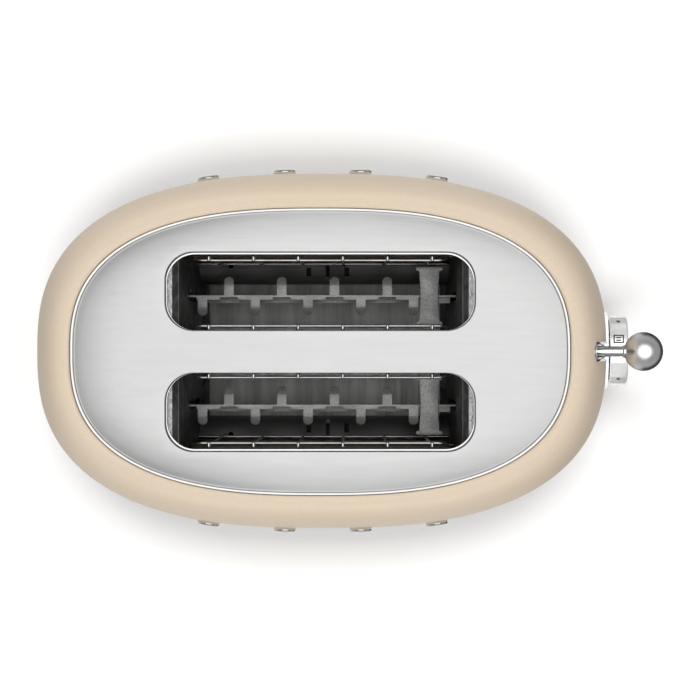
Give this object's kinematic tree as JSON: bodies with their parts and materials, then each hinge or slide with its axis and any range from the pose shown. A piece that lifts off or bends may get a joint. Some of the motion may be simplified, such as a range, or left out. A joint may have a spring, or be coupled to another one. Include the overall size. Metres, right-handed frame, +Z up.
{
  "type": "pop-up toaster",
  "caption": "Oval pop-up toaster with a leaning painted steel shell, long bread slots in a steel deck, end lever with a ball grip and a round browning dial.",
  "frame": {"origin": "on the table plane, under the middle of the whole envelope (the lever's ball included)", "axes": "+Z up from the table; +X along the bread slots towards the lever and dial; +Y left, seen from the rear end"},
  "size_m": [0.3242, 0.195, 0.198],
  "materials": {
    "champagne_shell": "satin champagne powder coat, fine metallic grain",
    "deck_steel": "satin brushed stainless steel",
    "bright_trim": "polished chrome",
    "band_steel": "polished stainless steel",
    "base_plastic": "black heat-resistant plastic, fine spark texture",
    "foot_rubber": "matt black rubber",
    "tray_steel": "aluminised sheet, dull",
    "chassis_steel": "galvanised sheet, dull",
    "mica_card": "mica card, matt layered",
    "resistance_ribbon": "flat resistance ribbon, dull",
    "brass_bar": "brass strip",
    "lead_sleeve": "woven glass sleeve, red",
    "reflector_sheet": "aluminised reflector sheet, semi-bright",
    "guard_wire": "bright drawn steel wire",
    "carriage_steel": "zinc-plated strip, satin",
    "rod_steel": "polished ground rod",
    "spring_steel": "spring wire",
    "satin_chrome": "satin chrome",
    "ring_plastic": "translucent white plastic light guide",
    "pale_plastic": "off-white plastic",
    "encoder_body": "encoder housing on a small board",
    "circuit_board": "green solder-masked board",
    "component_mix": "relay, capacitor and regulator cases",
    "coil_copper": "lacquered copper winding on a bobbin",
    "terminal_ceramic": "ivory terminal block",
    "screw_steel": "zinc-plated screw"
  },
  "bodies": {
    "housing": {"body_shell": "champagne_shell", "top_plate": "deck_steel", "top_trim_ring": "bright_trim", "base_band": "band_steel", "base_plate": "base_plastic", "foot_front_left": "foot_rubber", "foot_front_right": "foot_rubber", "foot_rear_left": "foot_rubber", "foot_rear_right": "foot_rubber", "chassis_floor": "chassis_steel", "bulkhead_lever_end": "chassis_steel", "bulkhead_rear_end": "chassis_steel", "heater_card_outer_left": "mica_card", "heater_card_inner_left": "mica_card", "heater_card_inner_right": "mica_card", "heater_card_outer_right": "mica_card", "heater_ribbon_outer_left": "resistance_ribbon", "heater_ribbon_inner_left": "resistance_ribbon", "heater_ribbon_inner_right": "resistance_ribbon", "heater_ribbon_outer_right": "resistance_ribbon", "bus_bars": "brass_bar", "heater_leads": "lead_sleeve", "outer_reflector_left": "reflector_sheet", "outer_reflector_right": "reflector_sheet", "crumb_deflector_left": "reflector_sheet", "crumb_deflector_right": "reflector_sheet", "centre_ridge": "reflector_sheet", "guide_rods": "rod_steel", "guide_top_bracket": "chassis_steel", "lift_spring_left": "spring_steel", "lift_spring_right": "spring_steel", "lever_slot_trim": "bright_trim", "dial_bezel": "bright_trim", "dial_light_ring": "ring_plastic", "dial_encoder": "encoder_body", "control_board": "circuit_board", "board_components": "component_mix", "electromagnet": "coil_copper", "terminal_block": "terminal_ceramic", "cord_gland": "base_plastic", "cord_wrap_hooks": "base_plastic", "base_screws": "screw_steel", "side_studs": "bright_trim"},
    "carriage": {"bread_rail_left": "carriage_steel", "bread_rail_right": "carriage_steel", "rail_saddle_left": "carriage_steel", "rail_saddle_right": "carriage_steel", "carriage_bridge": "carriage_steel", "lever_arm": "satin_chrome", "lever_ball": "satin_chrome", "armature_plate": "carriage_steel"},
    "dial_rotor_body": {"dial_rotor": "pale_plastic"},
    "dial_cap": {"dial_knob": "satin_chrome", "dial_stem": "rod_steel"},
    "tray": {"crumb_tray": "tray_steel", "tray_handle": "band_steel"},
    "guard_outer_left_body": {"guard_outer_left": "guard_wire"},
    "guard_inner_left_body": {"guard_inner_left": "guard_wire"},
    "guard_inner_right_body": {"guard_inner_right": "guard_wire"},
    "guard_outer_right_body": {"guard_outer_right": "guard_wire"}
  },
  "joints": [
    {"name": "carriage_slide", "type": "slide", "parent": "housing", "child": "carriage", "axis": [0, 0, -1], "range_m": [0, 0.062], "stiffness_N_per_m": 110, "springref_m": -0.04, "deforming": ["lift_spring_left", "lift_spring_right"]},
    {"name": "guard_tilt_outer_left", "type": "hinge", "parent": "housing", "child": "guard_outer_left_body", "pos_m": [-0.00815, 0.04755, 0.064], "axis": [1, 0, 0], "range_deg": [0, 2.6]},
    {"name": "guard_tilt_inner_left", "type": "hinge", "parent": "housing", "child": "guard_inner_left_body", "pos_m": [-0.00815, 0.00975, 0.064], "axis": [-1, 0, 0], "range_deg": [0, 2.6]},
    {"name": "guard_tilt_inner_right", "type": "hinge", "parent": "housing", "child": "guard_inner_right_body", "pos_m": [-0.00815, -0.00975, 0.064], "axis": [1, 0, 0], "range_deg": [0, 2.6]},
    {"name": "guard_tilt_outer_right", "type": "hinge", "parent": "housing", "child": "guard_outer_right_body", "pos_m": [-0.00815, -0.04755, 0.064], "axis": [-1, 0, 0], "range_deg": [0, 2.6]},
    {"name": "dial_turn", "type": "hinge", "parent": "housing", "child": "dial_rotor_body", "pos_m": [0.14373, 0, 0.07], "axis": [0.9962, 0, 0.0872], "range_deg": [-135, 135]},
    {"name": "dial_push", "type": "slide", "parent": "dial_rotor_body", "child": "dial_cap", "axis": [-0.9962, 0, -0.0872], "range_m": [0, 0.0005], "stiffness_N_per_m": 3000, "springref_m": -0.0005},
    {"name": "crumb_tray_slide", "type": "slide", "parent": "housing", "child": "tray", "axis": [-1, 0, 0], "range_m": [0, 0.15]}
  ],
  "couplings": [
    {"joint": "guard_tilt_outer_left", "follows": "carriage_slide", "rad_per_m": 0.7038},
    {"joint": "guard_tilt_inner_left", "follows": "carriage_slide", "rad_per_m": 0.7038},
    {"joint": "guard_tilt_inner_right", "follows": "carriage_slide", "rad_per_m": 0.7038},
    {"joint": "guard_tilt_outer_right", "follows": "carriage_slide", "rad_per_m": 0.7038}
  ]
}
